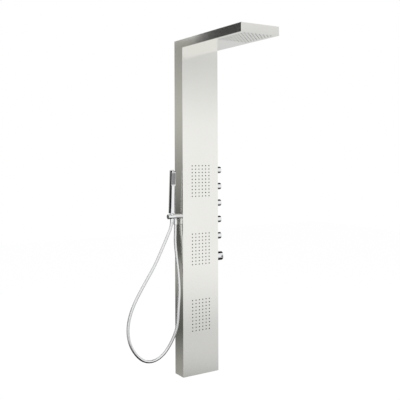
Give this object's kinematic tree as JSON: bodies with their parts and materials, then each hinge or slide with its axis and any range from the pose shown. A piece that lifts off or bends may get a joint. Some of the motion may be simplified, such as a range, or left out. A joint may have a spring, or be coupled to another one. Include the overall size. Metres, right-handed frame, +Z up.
{
  "type": "shower panel column",
  "caption": "Wall-hung shower panel with an overhead rain arm, body jets, side knobs with a thermostat, and a stick hand shower on a hanging metal hose.",
  "frame": {"origin": "middle of the upper wall bracket's two screw holes, on the wall plane", "axes": "+X to the right of someone facing the panel, +Y into the wall, +Z up"},
  "size_m": [0.527, 0.548, 1.6],
  "materials": {
    "panel_steel": "polished",
    "bracket_steel": "zinc-plated",
    "silicone": "soft matt",
    "chamber_plastic": "moulded",
    "brass": "machined",
    "cartridge_plastic": "moulded",
    "chrome": "polished",
    "cap_metal": "satin",
    "button_plastic": "smooth",
    "spring_steel": "drawn wire",
    "spray_plastic": "moulded",
    "inner_rubber": "smooth",
    "metal_hose": "ribbed"
  },
  "bodies": {
    "panel": {"front_panel": "panel_steel", "left_side_panel": "panel_steel", "right_side_panel": "panel_steel", "arm_top_cover": "panel_steel", "bottom_cap": "panel_steel", "upper_wall_bracket": "bracket_steel", "hanger_rail": "bracket_steel", "lower_wall_bracket": "bracket_steel", "cap_screws": "bracket_steel", "chamber_studs": "bracket_steel", "chamber_nuts": "bracket_steel", "hose_ferrules": "bracket_steel", "upper_jet_mat": "silicone", "middle_jet_mat": "silicone", "lower_jet_mat": "silicone", "rain_mat": "silicone", "upper_jet_chamber": "chamber_plastic", "middle_jet_chamber": "chamber_plastic", "lower_jet_chamber": "chamber_plastic", "rain_chamber": "chamber_plastic", "jet_elbows": "chamber_plastic", "inlet_check_valves": "chamber_plastic", "mixer_body": "brass", "manifold_body": "brass", "riser_pipe": "brass", "valve_cartridges": "brass", "outlet_lock_nut": "brass", "thermostatic_cartridge": "cartridge_plastic", "temperature_stop_ring": "cartridge_plastic", "valve_ring_nuts": "chrome", "mixer_ring_nut": "chrome", "outlet_barrel": "chrome", "barrel_end_cap": "chrome", "outlet_hose_nut": "chrome", "rain_hose": "inner_rubber", "upper_jet_hose": "inner_rubber", "middle_jet_hose": "inner_rubber", "hand_hose": "inner_rubber", "lower_jet_hose": "inner_rubber", "shower_hose": "metal_hose"},
    "rain_valve": {"rain_valve_spindle": "brass", "rain_valve_knob": "chrome"},
    "upper_jet_valve": {"upper_valve_spindle": "brass", "upper_valve_knob": "chrome"},
    "hand_shower_valve": {"hand_valve_spindle": "brass", "hand_valve_knob": "chrome"},
    "lower_jet_valve": {"lower_valve_spindle": "brass", "lower_valve_knob": "chrome"},
    "middle_jet_valve": {"middle_valve_spindle": "brass", "middle_valve_knob": "chrome"},
    "thermostat": {"thermostat_spindle": "brass", "thermostat_knob": "chrome", "thermostat_end_cap": "cap_metal", "button_spring": "spring_steel"},
    "button": {"safety_button": "button_plastic"},
    "hand_shower": {"hose_cone_nut": "chrome", "hand_shower_body": "chrome", "spray_plate": "spray_plastic", "hand_shower_cap": "chrome"}
  },
  "joints": [
    {"name": "rain_valve_turn", "type": "hinge", "parent": "panel", "child": "rain_valve", "pos_m": [0.1, -0.0375, -0.422], "axis": [1, 0, 0], "range_deg": [0, 90]},
    {"name": "upper_jet_valve_turn", "type": "hinge", "parent": "panel", "child": "upper_jet_valve", "pos_m": [0.1, -0.0375, -0.502], "axis": [1, 0, 0], "range_deg": [0, 90]},
    {"name": "hand_shower_valve_turn", "type": "hinge", "parent": "panel", "child": "hand_shower_valve", "pos_m": [0.1, -0.0375, -0.584], "axis": [1, 0, 0], "range_deg": [0, 90]},
    {"name": "lower_jet_valve_turn", "type": "hinge", "parent": "panel", "child": "lower_jet_valve", "pos_m": [0.1, -0.0375, -0.665], "axis": [1, 0, 0], "range_deg": [0, 90]},
    {"name": "middle_jet_valve_turn", "type": "hinge", "parent": "panel", "child": "middle_jet_valve", "pos_m": [0.1, -0.0375, -0.746], "axis": [1, 0, 0], "range_deg": [0, 90]},
    {"name": "thermostat_turn", "type": "hinge", "parent": "panel", "child": "thermostat", "pos_m": [0.1, -0.0375, -0.847], "axis": [1, 0, 0], "range_deg": [-120, 45]},
    {"name": "safety_button_press", "type": "slide", "parent": "thermostat", "child": "button", "axis": [0, 1, 0], "range_m": [0, 0.002], "stiffness_N_per_m": 300, "springref_m": -0.003, "deforming": ["button_spring"]},
    {"name": "hand_shower_lift", "type": "slide", "parent": "panel", "child": "hand_shower", "axis": [0, -0.0436, 0.999], "range_m": [0, 0.045], "deforming": ["shower_hose"]}
  ]
}
